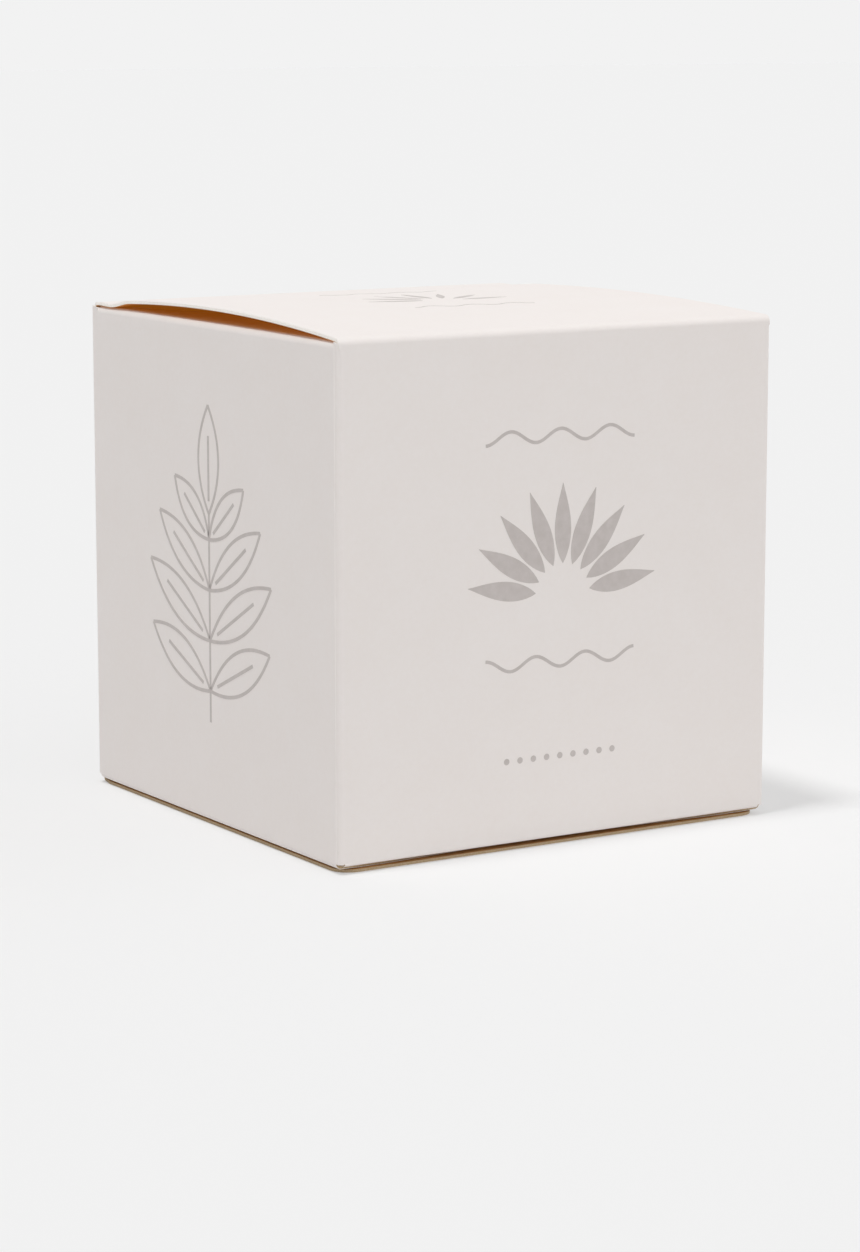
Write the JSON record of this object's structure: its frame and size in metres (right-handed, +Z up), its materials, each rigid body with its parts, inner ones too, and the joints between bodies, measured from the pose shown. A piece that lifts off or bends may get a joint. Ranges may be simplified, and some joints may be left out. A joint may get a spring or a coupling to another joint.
{
  "type": "tuck-top folding carton",
  "caption": "Cube-shaped folding carton of thin white board, brown inside, with a bowed tuck-in lid hinged on the front crease, dust flaps below it and a glued bottom.",
  "frame": {"origin": "centre of the footprint, on the table under the bottom flap", "axes": "+Z up, -Y out of the front wall, which carries the lid's crease, and +X to the right for someone facing that wall"},
  "size_m": [0.071, 0.071, 0.0737],
  "materials": {
    "carton_board": "white clay-coated outside, bare brown kraft inside and on the cut edges",
    "lid_board": "the same board: white clay-coated outside, bare brown kraft inside and on the cut edges"
  },
  "bodies": {
    "carton": {"carton": "carton_board"},
    "lid": {"lid": "lid_board"}
  },
  "joints": [
    {"name": "lid_hinge", "type": "hinge", "parent": "carton", "child": "lid", "pos_m": [0, -0.0355, 0.072], "axis": [1, 0, 0], "range_deg": [0, 180]}
  ]
}
